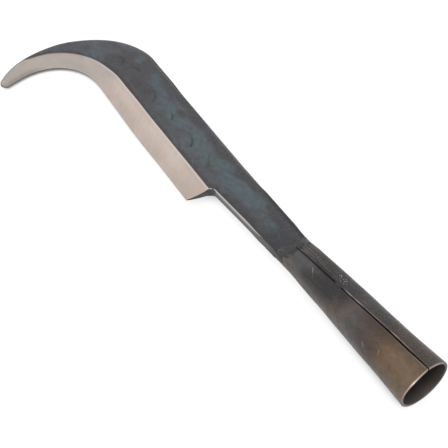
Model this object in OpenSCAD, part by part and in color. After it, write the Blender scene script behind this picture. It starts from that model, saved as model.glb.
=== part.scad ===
// Billhook head: a forged hooked blade with a rolled, open-seamed socket welded to its neck.
// The origin is the centre of the socket's mouth. +X runs along the socket towards the blade,
// +Y towards the cutting edge and +Z out of the blade's upper face. Sizes are in millimetres.

/* [Socket] */
// Outside diameter of the round mouth
mouth_d = 38; // [30:1:50]
// Thickness of the rolled sheet
socket_wall = 2.6; // [1.6:0.1:3.4]
// Length from the mouth to the throat
socket_len = 129; // [90:1:180]
// Outside width of the flattened throat
throat_w = 26.6; // [22:0.2:34]
// Outside height of the flattened throat
throat_h = 11.4; // [10:0.2:18]
// Squareness of the throat's section, where 2 is an ellipse
throat_square = 3; // [2:0.1:4]
// Width of the open seam at the mouth
seam_mouth = 1.8; // [0.8:0.1:3]
// Width of the open seam at the throat
seam_throat = 1; // [0.6:0.1:2]

/* [Welds] */
// Length of the weld that joins the socket to the neck
weld_len = 6.5; // [4:0.5:12]
// Rise of the weld above the socket and the neck at its middle
weld_crown = 0.5; // [0.2:0.1:2]
// Rise of the weld at its two toes
weld_toe = 0.1; // [0.1:0.05:0.6]
// Distance of the seam's tack weld from the mouth
tack_x = 85; // [40:1:88]
// Length of the tack weld
tack_len = 7; // [3:0.5:12]
// Rise of the tack weld above the sheet
tack_crown = 0.7; // [0.2:0.1:1.5]

/* [Tang and neck] */
// Length of the tang inside the socket, from the neck's shoulder
tang_len = 28; // [15:1:45]
// Clearance between the tang and what surrounds it
tang_gap = 0.15; // [0.05:0.05:0.4]
// Length of the neck from its shoulder to the heel
neck_len = 76.5; // [50:0.5:120]
// Distance from the socket's axis to the neck's spine side, at the shoulder
neck_back = 12.6; // [11.5:0.2:17]
// Distance from the socket's axis to the neck's edge side, at the shoulder
neck_front = 13.8; // [11.5:0.2:17]
// Distance from the socket's axis to the neck's edge side, where it flares out to the heel
flare_front = 15; // [11.5:0.2:18]
// Thickness of the neck at its shoulder
neck_t = 8; // [6.6:0.2:12]
// Chamfer along the neck's edge side
neck_chamfer = 1.8; // [0.6:0.1:2.4]
// Length over which the neck flares out to the heel
flare_len = 9; // [4:0.5:30]

/* [Blade] */
// Distance from the socket's axis to the spine, at the heel
heel_back = 16.2; // [12:0.2:22]
// Angle by which the blade is swept back from the socket's axis
sweep = 4.3; // [0:0.1:10]
// Width from the spine to the cutting edge
blade_w = 52; // [44:0.5:70]
// Length of the straight cutting edge, from the heel to the hook
edge_len = 141; // [80:1:220]
// Swell of the straight edge at its middle
edge_belly = 0.5; // [0:0.1:3]
// Width of the ground bevel
bevel_w = 18.5; // [8:0.5:24]
// Thickness left along the cutting edge
edge_land = 0.9; // [0.4:0.1:1.6]
// Radius of the rounded spine
spine_r = 1.6; // [0.4:0.1:2.2]
// Thickness of the blade at the heel
heel_t = 7.8; // [5.6:0.2:10]
// Thickness of the blade where the hook begins
hook_t = 6; // [5:0.2:8]
// Thickness of the blade at the tip
tip_t = 2.8; // [1.8:0.1:4.8]

/* [Hook] */
// Radius of the hook's inner cutting edge
hook_r = 41; // [30:0.5:60]
// Width of the hook where its back reaches furthest
hook_w = 24.4; // [20:0.5:36]
// Distance along the blade from the bend of the edge to the bend of the back
back_lag = 8.5; // [2:0.5:14]
// Distance across the blade from the edge's centre of bend to the back's
back_rise = 26.5; // [16:0.5:32]
// Width of the hook where its tip begins to round off
tip_w = 10.5; // [6:0.5:14]
// Length of the rounded tip
tip_len = 5; // [2:0.5:8]

/* [Hidden] */

// Stations and points of the lofted surfaces
socket_steps = 9;
sheet_points = 64;
weld_steps = 6;
weld_points = 48;
tack_steps = 8;
neck_steps = 12;
edge_steps = 8;
hook_steps = 16;
tip_steps = 6;
corner_points = 4;
// Length that the socket is rolled too long before its mouth is cut square
mouth_trim = 2;
// Squareness of the neck's section where the weld meets it
neck_square = 6;
// Angle from the middle of each of the tang's sides to its nearest corner points
tang_corner = 15;
// Shares of the tack's crown that are left at its ends and on its flanks
tack_ends = 0.2;
tack_flanks = 0.8;
// Power of the curve by which the neck flares out to the heel
flare_power = 2.2;
// Largest shares of the half thickness and of the width that the rounded spine takes
spine_half_share = 0.8;
spine_width_share = 0.25;
// Multiple of the spine's radius that stays flat behind the bevel where the hook is narrow
bevel_stop = 1.2;
// Share of the tip's thickness left at its end, and the angle of its arc at which it is cut blunt
tip_thin = 0.75;
tip_stop = 80;
// Angles between which the hook's end is sought, and the number of halvings
hook_search = [-45, 90];
hook_halvings = 24;

// Places along the socket's axis
shoulder_x = socket_len + weld_len;
heel_x = shoulder_x + neck_len;

// Tang, one clearance inside the throat's wall
tang_a = throat_w / 2 - socket_wall - tang_gap;
tang_b = throat_h / 2 - socket_wall - tang_gap;

// Hook, in the blade's own plane: u runs along the blade from the heel, v from the spine to the edge
hook_u = edge_len - blade_w * tan(sweep);
hook_v = blade_w + hook_r;
back_u = hook_u + back_lag;
back_v = hook_v - back_rise;
back_a = hook_r + hook_w - back_lag;

function mix(a, b, t) = a + (b - a) * t;
function signed_pow(v, p) = sign(v) * pow(abs(v), p);

// Joins rings of equal length, each clockwise as seen from the far end, into quads cut along one diagonal
function ring_faces(a, b) = [
    for (j = [0 : len(a) - 1])
        let (k = (j + 1) % len(a))
            each [[a[j], a[k], b[k]], [a[j], b[k], b[j]]]
];
function reversed(list) = [for (i = [len(list) - 1 : -1 : 0]) list[i]];
function run(first, count) = [for (i = [0 : count - 1]) first + i];

// Socket

// Half width, half height and squareness of the sheet's outside, at a distance x from the mouth
function sheet_a(x) = mix(mouth_d, throat_w, x / socket_len) / 2;
function sheet_b(x) = mix(mouth_d, throat_h, x / socket_len) / 2;
function sheet_n(x) = mix(2, throat_square, pow(max(0, x) / socket_len, 2));
function seam_gap(x) = mix(seam_mouth, seam_throat, x / socket_len);

// Point of a superellipse at an angle from the top, turning towards +Y
function oval(a, b, n, angle) =
    [a * signed_pow(sin(angle), 2 / n), b * signed_pow(cos(angle), 2 / n)];
// Angle at which a superellipse is a given distance from its top
function seam_angle(a, n, y) = asin(pow(y / a, n / 2));
// Height of the sheet at the seam, inset from its outside
function seam_z(x, inset) =
    let (a = sheet_a(x) - inset, b = sheet_b(x) - inset, n = sheet_n(x))
        oval(a, b, n, seam_angle(a, n, seam_gap(x) / 2))[1];

// One wall of the sheet from one side of the seam to the other
function sheet_wall(x, inset) =
    let (a = sheet_a(x) - inset, b = sheet_b(x) - inset, n = sheet_n(x),
         start = seam_angle(a, n, seam_gap(x) / 2))
        [for (i = [0 : sheet_points - 1])
            let (p = oval(a, b, n, mix(start, 360 - start, i / (sheet_points - 1))))
                [x, p[0], p[1]]];

module socket() {
    turn = 2 * sheet_points;
    points = [
        for (i = [0 : socket_steps - 1])
            let (x = mix(-mouth_trim, socket_len, i / (socket_steps - 1)))
                each concat(sheet_wall(x, 0), reversed(sheet_wall(x, socket_wall)))
    ];
    sides = [
        for (i = [0 : socket_steps - 2])
            each ring_faces(run(i * turn, turn), run((i + 1) * turn, turn))
    ];
    end = (socket_steps - 1) * turn;
    rims = [
        for (i = [0 : sheet_points - 2])
            let (o = turn - 1 - i)
                each [[o, o - 1, i + 1, i], [end + i, end + i + 1, end + o - 1, end + o]]
    ];
    // The mouth is rolled a little long and then cut square
    color("#5f5651")
        difference() {
            polyhedron(points, concat(sides, rims), convexity = 6);
            translate([-2 * mouth_trim, -mouth_d, -mouth_d])
                cube([2 * mouth_trim, 2 * mouth_d, 2 * mouth_d]);
        }
}

// Welds

// Outline of the throat weld at a share t of its length, from the socket to the neck
function weld_outline(t) =
    let (rise = weld_toe + weld_crown * sin(180 * t),
         centre = mix(0, (neck_front - neck_back) / 2, t),
         a = mix(throat_w, neck_front + neck_back, t) / 2 + rise,
         b = mix(throat_h, neck_t, t) / 2 + rise,
         n = mix(throat_square, neck_square, t))
        [for (i = [0 : weld_points - 1])
            let (p = oval(a, b, n, 360 * (i + 0.5) / weld_points))
                [socket_len + weld_len * t, centre + p[0], p[1]]];

// Bore of the throat weld round the tang
function weld_bore(t) =
    [for (i = [0 : weld_points - 1])
        let (p = oval(tang_a + tang_gap, tang_b + tang_gap, throat_square, 360 * (i + 0.5) / weld_points))
            [socket_len + weld_len * t, p[0], p[1]]];

module throat_weld() {
    shares = [for (i = [0 : weld_steps - 1]) i / (weld_steps - 1)];
    outside = weld_steps * weld_points;
    points = concat([for (t = shares) each weld_outline(t)], weld_bore(0), weld_bore(1));
    outer = [
        for (i = [0 : weld_steps - 2])
            each ring_faces(run(i * weld_points, weld_points), run((i + 1) * weld_points, weld_points))
    ];
    near_bore = run(outside, weld_points);
    far_bore = run(outside + weld_points, weld_points);
    last = run(outside - weld_points, weld_points);
    first = run(0, weld_points);
    color("#4b4845")
        polyhedron(points, concat(outer, ring_faces(far_bore, near_bore),
            ring_faces(near_bore, first), ring_faces(last, far_bore)), convexity = 4);
}

// Section of the tack weld, which fills the seam from wall to wall, at a distance x from the mouth
function tack_section(x, rise) =
    let (y = seam_gap(x) / 2, low = seam_z(x, socket_wall), high = seam_z(x, 0))
        [[x, -y, low], [x, -y, high], [x, -y / 2, high + rise * tack_flanks],
         [x, y / 2, high + rise * tack_flanks], [x, y, high], [x, y, low]];

module seam_tack() {
    sections = [
        for (i = [0 : tack_steps])
            let (t = i / tack_steps)
                tack_section(tack_x + tack_len * (t - 0.5), tack_crown * (tack_ends + sin(180 * t)))
    ];
    turn = len(sections[0]);
    sides = [
        for (i = [0 : tack_steps - 1])
            each ring_faces(run(i * turn, turn), run((i + 1) * turn, turn))
    ];
    color("#8d857c")
        polyhedron([for (s = sections) each s],
            concat(sides, [reversed(run(0, turn)), run(tack_steps * turn, turn)]), convexity = 2);
}

// Blade

// Section across the blade from a point of the spine to one of the edge: rounded spine, flat faces,
// and on the edge's side a slope on each face, down to a land. half is half the thickness.
function blade_section(spine, edge, half, round, slope, land) =
    let (w = norm(edge - spine), across = (edge - spine) / w,
         profile = concat(
            [for (i = [0 : corner_points - 1])
                let (q = 90 * i / (corner_points - 1))
                    [round * (1 - sin(q)), -half + round * (1 - cos(q))]],
            [for (i = [0 : corner_points - 1])
                let (q = 90 * i / (corner_points - 1))
                    [round * (1 - cos(q)), half - round * (1 - sin(q))]],
            [[w - slope, half], [w, land], [w, -land], [w - slope, -half]]))
        [for (p = profile)
            let (at = spine + across * p[0])
                [at[0], at[1], p[1]]];

// Section of the tang, with its points in the order of the neck's
tang_angles = concat(
    [for (i = [0 : corner_points - 1]) mix(180 + tang_corner, 270 - tang_corner, i / (corner_points - 1))],
    [for (i = [0 : corner_points - 1]) mix(270 + tang_corner, 360 - tang_corner, i / (corner_points - 1))],
    [tang_corner, 90 - tang_corner, 90 + tang_corner, 180 - tang_corner]);
function tang_section(x) =
    [for (q = tang_angles)
        let (p = oval(tang_a, tang_b, throat_square, q))
            [x, p[0], p[1]]];

// Neck, at a share t of its length; its edge side flares to meet the shoulder of the bevel
heel_front = blade_w / cos(sweep) - bevel_w + neck_chamfer - heel_back;
function neck_edge(x) =
    let (flare = pow(max(0, 1 - (heel_x - x) / flare_len), flare_power))
        mix(mix(neck_front, flare_front, (x - shoulder_x) / (neck_len - flare_len)), heel_front, flare);
function neck_section(t) =
    let (x = mix(shoulder_x, heel_x, t), half = mix(neck_t, heel_t, t) / 2)
        blade_section([x, -mix(neck_back, heel_back, t)], [x, neck_edge(x)], half,
            spine_r, neck_chamfer, half - neck_chamfer);

// Point of the blade's plane in the part's frame
function on_blade(u, v) =
    [heel_x + u * cos(sweep) + v * sin(sweep), -heel_back - u * sin(sweep) + v * cos(sweep)];

// Distance from the hook's centre to its back, along a ray at an angle from the blade's length:
// the straight spine first, then an ellipse that is tangent to it
function back_distance(angle) =
    let (c = cos(angle), s = sin(angle), straight = s < 0 ? -hook_v / s : 0)
        s < 0 && hook_u + straight * c <= back_u ? straight :
        let (k = pow(c / back_a, 2) + pow(s / back_v, 2),
             m = -back_lag * c / pow(back_a, 2) + back_rise * s / pow(back_v, 2),
             r = pow(back_lag / back_a, 2) + pow(back_rise / back_v, 2) - 1)
            (sqrt(m * m - k * r) - m) / k;
// Angle at which the hook has narrowed to the width of its tip
function tip_angle(low, high, tries) =
    tries == 0 ? low :
    let (middle = (low + high) / 2)
        back_distance(middle) - hook_r > tip_w ?
            tip_angle(middle, high, tries - 1) : tip_angle(low, middle, tries - 1);
hook_end = tip_angle(hook_search[0], hook_search[1], hook_halvings);

// Straight part of the blade, at a share t of its length
function edge_section(t) =
    blade_section(on_blade(hook_u * t, 0),
        on_blade(mix(hook_u - edge_len, hook_u, t), blade_w + edge_belly * 4 * t * (1 - t)),
        mix(heel_t, hook_t, t) / 2, spine_r, bevel_w, edge_land / 2);

// Hook between two distances from its centre; the bevel takes the whole width where the hook is narrow
function hook_section(angle, inner, outer, half) =
    let (c = cos(angle), s = sin(angle), w = outer - inner,
         round = min(spine_r, half * spine_half_share, w * spine_width_share))
        blade_section(on_blade(hook_u + outer * c, hook_v + outer * s),
            on_blade(hook_u + inner * c, hook_v + inner * s),
            half, round, min(bevel_w, w - round * bevel_stop), min(edge_land, half) / 2);
function hook_arc(t) =
    let (angle = mix(-90, hook_end, t))
        hook_section(angle, hook_r, back_distance(angle), mix(hook_t, tip_t, t) / 2);
// Rounded tip, a half ellipse on the hook's last width
function tip_arc(t) =
    let (middle = hook_r + tip_w / 2, reach = tip_w / 2 * sqrt(1 - t * t),
         angle = hook_end + tip_len * t / middle * 180 / PI)
        hook_section(angle, middle - reach, middle + reach, tip_t / 2 * mix(1, tip_thin, t * t));

module blade() {
    root = concat([tang_section(shoulder_x - tang_len), tang_section(shoulder_x)],
        [for (i = [0 : neck_steps]) neck_section(i / neck_steps)]);
    body = concat(
        [for (i = [1 : edge_steps]) edge_section(i / edge_steps)],
        [for (i = [1 : hook_steps]) hook_arc(i / hook_steps)],
        [for (i = [1 : tip_steps]) tip_arc(sin(tip_stop * i / tip_steps))]);
    heel_edge = edge_section(0);
    turn = len(root[0]);
    shoulder = turn - 4;
    side = turn - 3;
    points = concat([for (s = root) each s], [heel_edge[side], heel_edge[side + 1]], [for (s = body) each s]);
    root_end = (len(root) - 1) * turn;
    corner = len(root) * turn;
    // Ring of the blade at the heel: the neck's own points, with the edge's in place of the neck's side
    heel = concat(run(root_end, side), [corner, corner + 1], [root_end + turn - 1]);
    heel_face = [
        [root_end + shoulder, root_end + side, corner],
        [root_end + side, root_end + side + 1, corner + 1, corner],
        [root_end + side + 1, root_end + turn - 1, corner + 1]
    ];
    body_ring = function (i) i < 0 ? heel : run(corner + 2 + i * turn, turn);
    color("#585b5e")
        polyhedron(points, concat(
            [reversed(run(0, turn))],
            [for (i = [0 : len(root) - 2]) each ring_faces(run(i * turn, turn), run((i + 1) * turn, turn))],
            heel_face,
            [for (i = [-1 : len(body) - 2]) each ring_faces(body_ring(i), body_ring(i + 1))],
            [body_ring(len(body) - 1)]), convexity = 8);
}

blade();
socket();
throat_weld();
seam_tack();
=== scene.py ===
import bpy
import math
import numpy as np
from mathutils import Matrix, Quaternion, Vector


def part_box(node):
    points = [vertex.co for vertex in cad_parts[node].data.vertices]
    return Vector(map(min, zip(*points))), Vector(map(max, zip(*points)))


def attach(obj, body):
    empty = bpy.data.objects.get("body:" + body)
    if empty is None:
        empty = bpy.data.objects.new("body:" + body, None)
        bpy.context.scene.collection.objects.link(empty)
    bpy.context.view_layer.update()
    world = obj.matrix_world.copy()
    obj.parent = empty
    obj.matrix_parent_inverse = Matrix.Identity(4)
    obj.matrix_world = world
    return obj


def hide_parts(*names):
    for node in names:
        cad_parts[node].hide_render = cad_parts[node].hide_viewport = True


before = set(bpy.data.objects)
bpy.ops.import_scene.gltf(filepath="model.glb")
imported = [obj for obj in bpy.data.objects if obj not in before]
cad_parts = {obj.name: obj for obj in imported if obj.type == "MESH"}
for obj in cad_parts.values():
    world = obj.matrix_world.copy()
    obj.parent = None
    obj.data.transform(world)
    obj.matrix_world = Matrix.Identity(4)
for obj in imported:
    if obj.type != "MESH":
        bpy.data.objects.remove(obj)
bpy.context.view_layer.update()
mm = 0.001

socketLow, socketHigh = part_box("socket")
weldLow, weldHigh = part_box("throat_weld")
tackLow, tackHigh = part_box("seam_tack")
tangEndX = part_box("blade")[0].x
print("frame loaded:", sorted(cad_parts))


# small numpy helpers

def mix(a, b, t):
    # straight blend: a where t is 0, b where t is 1
    return a + (b - a) * t


def smooth(low, high, x):
    # smooth step: 0 below low, 1 above high, cubic in between
    t = np.clip((x - low) / (high - low), 0, 1)
    return t * t * (3 - 2 * t)


def rising(x, size, low, high):
    # a size that comes in with a smooth step
    return size * smooth(low, high, x)


def plateau(x, start, full, fall, end):
    # 0 outside start and end, 1 between full and fall, a smooth step on either side
    return smooth(start, full, x) * (1 - smooth(fall, end, x))


def swell(x, size, middle, spread):
    # bell curve: its size at the middle, dying away with the square of the distance
    return size * np.exp(-((x - middle) / spread) ** 2)


def bumps(x, places):
    # sum of bell curves, each with its size, middle and spread
    return sum(swell(x, *place) for place in places)


def ripple(x, y, waves):
    # slow unevenness: a sum of sine waves, each with its size, pace along x, pace along y and phase
    return sum(size * np.sin(a * x + b * y + phase) for size, a, b, phase in waves)


def superellipse(angle, square):
    # point of half size 1 at an angle from the top: sine and cosine, each to the power 2 / square
    return [np.sign(v) * np.abs(v) ** (2 / square) for v in (np.sin(angle), np.cos(angle))]


def signedDegrees(angle):
    # an angle in radians as degrees from -180 to 180
    return np.degrees((angle + np.pi) % (2 * np.pi) - np.pi)


def patches(x, y, places):
    # the strongest of several soft oval patches: centre, reach along, reach across, strength
    return np.max([swell(x / mm, strength, cx, along) * swell(y / mm, 1, cy, across)
                   for cx, cy, along, across, strength in places], 0)


# faces are arrays of point numbers, one array for each count of corners

def gridFaces(rows, cols, wrapRows=False, wrapCols=False, first=0):
    # quads between neighbouring grid points; a wrapped direction joins its last line to its first
    a, b = np.meshgrid(np.arange(rows if wrapRows else rows - 1),
                       np.arange(cols if wrapCols else cols - 1), indexing="ij")
    a2 = (a + 1) % rows
    b2 = (b + 1) % cols
    quads = np.stack([a * cols + b, a * cols + b2, a2 * cols + b2, a2 * cols + b], -1)
    return first + quads.reshape(-1, 4)


def closedTube(rows, cols, first=0):
    # rings of points joined into a tube, with one flat face at both ends
    ring = first + np.arange(cols)[None]
    return [gridFaces(rows, cols, wrapCols=True, first=first), ring[:, ::-1], ring + (rows - 1) * cols]


def makePiece(name, points, blocks, marks, uv=None, sharpAngle=38):
    # points in threes, blocks of faces, marks as one value per point, uv as two values per point
    points = points.reshape(-1, 3)
    fans = [points[block] for block in blocks]
    volume = sum(np.sum(fan[:, :1] * np.cross(fan[:, 1:-1], fan[:, 2:])) for fan in fans)
    faces = []
    for block in blocks:
        faces += (block if volume > 0 else block[:, ::-1]).tolist()     # turned round if inside out
    mesh = bpy.data.meshes.new(name)
    mesh.from_pydata(points.tolist(), [], faces)
    for label, values in marks.items():
        layer = mesh.attributes.new(label, "FLOAT", "POINT")
        layer.data.foreach_set("value", np.ascontiguousarray(values, np.float32).ravel())
    if uv is not None:
        owner = np.zeros(len(mesh.loops), np.int32)
        mesh.loops.foreach_get("vertex_index", owner)
        layer = mesh.uv_layers.new(name="surface")
        layer.data.foreach_set("uv", uv.reshape(-1, 2)[owner].astype(np.float32).ravel())
    mesh.shade_smooth()
    mesh.set_sharp_from_angle(angle=math.radians(sharpAngle))
    mesh.validate()
    piece = bpy.data.objects.new(name, mesh)
    bpy.context.scene.collection.objects.link(piece)
    print("made", name, len(points), "points")
    return piece


# blade: neck, heel, straight edge, hook and tip

bladeForm = {
    # neck: back and front are measured from the axis; it flares into the heel
    "neckLen": 76.5 * mm, "neckBack": 12.3 * mm, "neckFront": 13.2 * mm, "neckThick": 8 * mm,
    "flareFront": 15 * mm, "flareLen": 3.6 * mm, "flarePower": 2.2,
    "neckBulge": 0.5 * mm, "bulgeRun": (139 * mm, 149 * mm, 182 * mm, 192 * mm),
    # chamfer on the neck's edge side, cut deeper below; along it the neck is fuller and thinner
    "chamfer": 1.3 * mm, "chamferLeast": 0.3 * mm,
    "chamferRun": (147 * mm, 171 * mm, 202.6 * mm, 208.6 * mm),
    "underCut": 0.9 * mm, "underRun": (136 * mm, 160 * mm, 202.6 * mm, 208.6 * mm),
    "neckFull": 0.62 * mm, "neckThin": 0.2 * mm, "fullRun": (147 * mm, 156 * mm, 202.6 * mm, 208.6 * mm),
    "chamferBright": (0.31 * mm, 0.5 * mm), "chamferFade": 0.6,  # widths that turn bright, loss lower down
    # heel: its end face leans, is rounded, and slants in below over a depth
    "heelBack": 16.2 * mm, "heelThick": 7.8 * mm, "heelLean": 2.7 * mm, "heelRound": 2.4,
    "heelUnder": (0.7 * mm, 0, 1.5 * mm),
    # straight edge: belly and bevelSwell are a size, a share of the length and a spread
    "sweep": math.radians(4.3), "width": 52 * mm, "edgeLen": 141 * mm, "spineRadius": 1.6 * mm,
    "bevel": 18.2 * mm, "land": 0.9 * mm, "softEdge": 0.35 * mm,
    "belly": (0.95 * mm, 0.56, 0.26), "bevelSwell": (0.3 * mm, 0.5, 0.12), "bevelLess": (1.0 * mm, 0.7, 1),
    "spineRise": (0.7, 0.82),       # shares of the length over which the spine meets the hook's uneven back
    # hook: an inner circle, and a back that leaves the spine on an ellipse of its own
    "hookRadius": 41 * mm, "hookWidth": 24.4 * mm, "hookThick": 6 * mm,
    "backLag": 8.5 * mm, "backRise": 26.5 * mm,
    "rootEase": 22,                 # stations over which the straight edge turns gently into the hook
    # forged unevenness of the hook: size, middle angle and spread
    "innerBumps": [(3.3 * mm, -38, 36)],
    "backBumps": [(0.75 * mm, -85, 11), (0.3 * mm, -62, 12), (-0.25 * mm, -43, 8), (0.35 * mm, -30, 8)],
    # changes along the hook: size, the angle at which they start and the angle at which they are whole
    "rootLess": (1.2 * mm, -90, -70), "hookMore": (2.1 * mm, -84, -16),
    "tipLess": (0.8 * mm, -24, -6),         # these three change the slope's width
    "softHook": (1.15 * mm, -66, -30),      # rounder shoulder
    "blunt": (0.8, -62, -20),               # thicker land
    "backThin": (0.55, -20, 14),            # sharper back
    "tipRise": (1.2 * mm, 16, 34),          # straighter inner curve
    "tipPush": (0.1 * mm, -35, 25),         # tip standing further out
    "backLeft": 0.25 * mm,      # strip of face left beside the back where the slope takes the whole width
    # tip: half an ellipse followed for some degrees, with a share of the thickness left at its end
    "tipWidth": 8.7 * mm, "tipLen": 3.0 * mm, "tipThick": 2.8 * mm, "tipTurn": 84, "tipEnd": 0.75,
    "tipSearch": (-45, 90, 20001),          # degrees searched for the tip's width, and steps
    # shares of the room that a rounding may take, and the edge's own small rounding
    "roundShare": 0.8, "backShare": 0.25, "shoulderShare": 0.3, "lipShare": 0.4, "lipRound": 0.12 * mm,
    "tangHalfWidth": 10.55 * mm, "tangHalfHeight": 2.95 * mm, "tangSquare": 3, "tangRows": 3,
    "neckStations": 110, "heelStations": 10, "edgeStations": 230, "hookStations": 200, "tipStations": 12,
    "sectionPoints": {"spine": 3, "round": 6, "face": 46, "shoulder": 5, "slope": 16, "lip": 3, "land": 2},

    # uneven faces, fading out towards the spine and the ground slope
    "faceFade": (0.3 * mm, 4 * mm), "rimFade": (0, 1 * mm),
    "faceWaves": [(0.05 * mm, 190, 60, 0.3), (0.04 * mm, 90, -210, 1.7), (0.03 * mm, 330, 240, 0.9)],
    # hammer marks in mm and degrees: centre, radius, depth of the dish, the angle from the spine's side
    # towards the heel at which its dark rim ends, the angle over which it fades back, and its strength
    "hammerMarks": [
        (246.5, 19, 21.9, 0.14, 54, 30, 0.6), (267, 13, 15.7, 0.24, 60, 50, 1.0),
        (300.5, 14, 19.7, 0.22, 46, 26, 0.95), (327.4, 9.8, 17.3, 0.18, 63, 60, 0.6),
        (351.9, -2.8, 7.4, 0.12, 20, 90, 0.85), (372.2, -1.8, 5.4, 0.10, 70, 120, 0.85),
        (190, 12, 18, 0.08, 50, 30, 0.25), (160, 10, 16, 0.08, 40, 30, 0.3),
        (263, 15, 11.5, 0.06, 50, 30, 0.35), (236, 11, 9.5, 0.05, 40, 30, 0.3),
        (386, 18, 15, 0.10, 40, 40, 0.3),
    ],
    # shape of the dishes, degrees over which a rim ends, spread in mm of a faint and of a full rim
    "dishPower": 0.7, "rimEnd": (-5, 3), "rimSpread": (0.65, 0.95),
    "underShift": 13,           # mm by which the marks of the under side lie further along
    # soft patches of tempering colours on the face, in mm: centre, reach along, reach across, strength
    "tealPatches": [
        (157, 0, 12, 5.5, 0.8), (182, -1, 14, 6, 0.9), (204, -1, 16, 8, 1.0), (226, -3, 18, 8, 1.0),
        (244, 0, 13, 7, 0.9), (258, -6, 12, 5, 0.9), (271, -3, 11, 4, 0.6), (286, -2, 10, 5, 1.25),
        (307, -6, 11, 5, 1.2), (318, -12, 13, 4.5, 1.0), (336, -17, 8, 4, 0.7), (306, 1, 8, 4, 0.7),
        (389, 6, 8, 6, 0.4), (409, 30, 4, 8, 0.7), (362, -16, 5, 7, 0.55), (327, -14, 9, 4, 0.8),
        (264, 5, 6, 4, 0.7), (213, -7, 8, 4, 0.8), (234, 5, 8, 4, 0.7),
    ],
    "purplePatches": [
        (288, -10, 6, 3, 0.8), (296, 5, 9, 3.5, 0.8), (324, -1, 10, 5.5, 1.0), (342, -1, 13, 7, 0.9),
        (358, -10, 8, 5, 0.9), (370, -5, 8, 5, 1.0), (377, 0, 7, 7, 0.85), (276, -14, 12, 3.5, 0.8),
        (300, -18, 10, 3.5, 0.7), (402, 14, 7, 9, 0.5), (246, -12, 16, 3, 0.6), (340, 8, 22, 3, 0.6),
    ],
}

shoulderX = weldHigh.x
heelX = shoulderX + bladeForm["neckLen"]
hookU = bladeForm["edgeLen"] - bladeForm["width"] * math.tan(bladeForm["sweep"])
hookV = bladeForm["width"] + bladeForm["hookRadius"]
backU = hookU + bladeForm["backLag"]
backV = hookV - bladeForm["backRise"]
backA = bladeForm["hookRadius"] + bladeForm["hookWidth"] - bladeForm["backLag"]


def onBlade(u, v):
    # point of the blade's plane: u along the blade from the heel, v from the spine towards the edge
    c, s = math.cos(bladeForm["sweep"]), math.sin(bladeForm["sweep"])
    return np.stack([heelX + u * c + v * s, -bladeForm["heelBack"] - u * s + v * c], -1)


def backDistance(angle):
    # ray from the hook's centre to its back: the straight spine first, then a tangent ellipse, which the ray
    # meets where k d d + 2 m d + r = 0; both uneven
    lag, rise = bladeForm["backLag"], bladeForm["backRise"]
    c, s = np.cos(angle), np.sin(angle)
    straight = -hookV / np.minimum(s, -1e-9)
    k = (c / backA) ** 2 + (s / backV) ** 2
    m = -lag * c / backA ** 2 + rise * s / backV ** 2
    r = (lag / backA) ** 2 + (rise / backV) ** 2 - 1
    oval = (np.sqrt(m * m - k * r) - m) / k
    even = np.where((s < 0) & (hookU + straight * c <= backU), straight, oval)
    return even + bumps(np.degrees(angle), bladeForm["backBumps"])


def innerRadius(angle):
    # the hook's inner curve: a circle, hollower in the hook's middle and straighter at its tip
    f, degrees = bladeForm, np.degrees(angle)
    return f["hookRadius"] + bumps(degrees, f["innerBumps"]) + rising(degrees, *f["tipRise"])


def hookEndAngle():
    # the first angle at which the hook has narrowed to its tip's width
    angles = np.radians(np.linspace(*bladeForm["tipSearch"]))
    narrow = backDistance(angles) - innerRadius(angles) <= bladeForm["tipWidth"]
    return angles[np.argmax(narrow)]


def eased(points, middle, reach):
    # moving average of a row of points round its middle one, fading out on both sides
    kernel = np.ones(2 * reach + 1) / (2 * reach + 1)
    mean = np.stack([np.convolve(points[:, k], kernel, "same") for k in (0, 1)], -1)
    share = plateau(np.arange(len(points)), middle - 2 * reach, middle - reach,
                    middle + 0.5 * reach, middle + 2.5 * reach)
    return mix(points, mean, share[:, None])


def sections(spine, edge, half, radius, slope, land, under=0.0, soft=bladeForm["softEdge"]):
    # values of a row of sections, those that stay the same repeated
    return [spine, edge] + [np.broadcast_to(v, half.shape) for v in (half, radius, slope, land, under, soft)]


def hookSections(angle, inner, outer, half):
    # sections on rays from the hook's centre, with a slope, land and shoulder that change with the angle
    f, degrees = bladeForm, np.degrees(angle)
    c, s = np.cos(angle), np.sin(angle)
    wide = outer - inner
    radius = np.minimum(np.minimum(f["spineRadius"], half * f["roundShare"]), wide * f["backShare"])
    radius = radius * (1 - rising(degrees, *f["backThin"]))
    slope = f["bevel"] - f["bevelLess"][0] - rising(degrees, *f["rootLess"]) \
        + rising(degrees, *f["hookMore"]) - rising(degrees, *f["tipLess"])
    slope = np.minimum(slope, wide - radius - f["backLeft"])
    soft = f["softEdge"] + rising(degrees, *f["softHook"])
    soft = np.minimum(soft, (wide - slope - radius) * f["roundShare"])
    land = np.minimum(f["land"] / 2 * (1 + rising(degrees, *f["blunt"])), half * f["roundShare"])
    u = hookU + rising(degrees, *f["tipPush"])
    return sections(onBlade(u + outer * c, hookV + outer * s), onBlade(u + inner * c, hookV + inner * s),
                    half, radius, slope, land, soft=soft)


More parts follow.
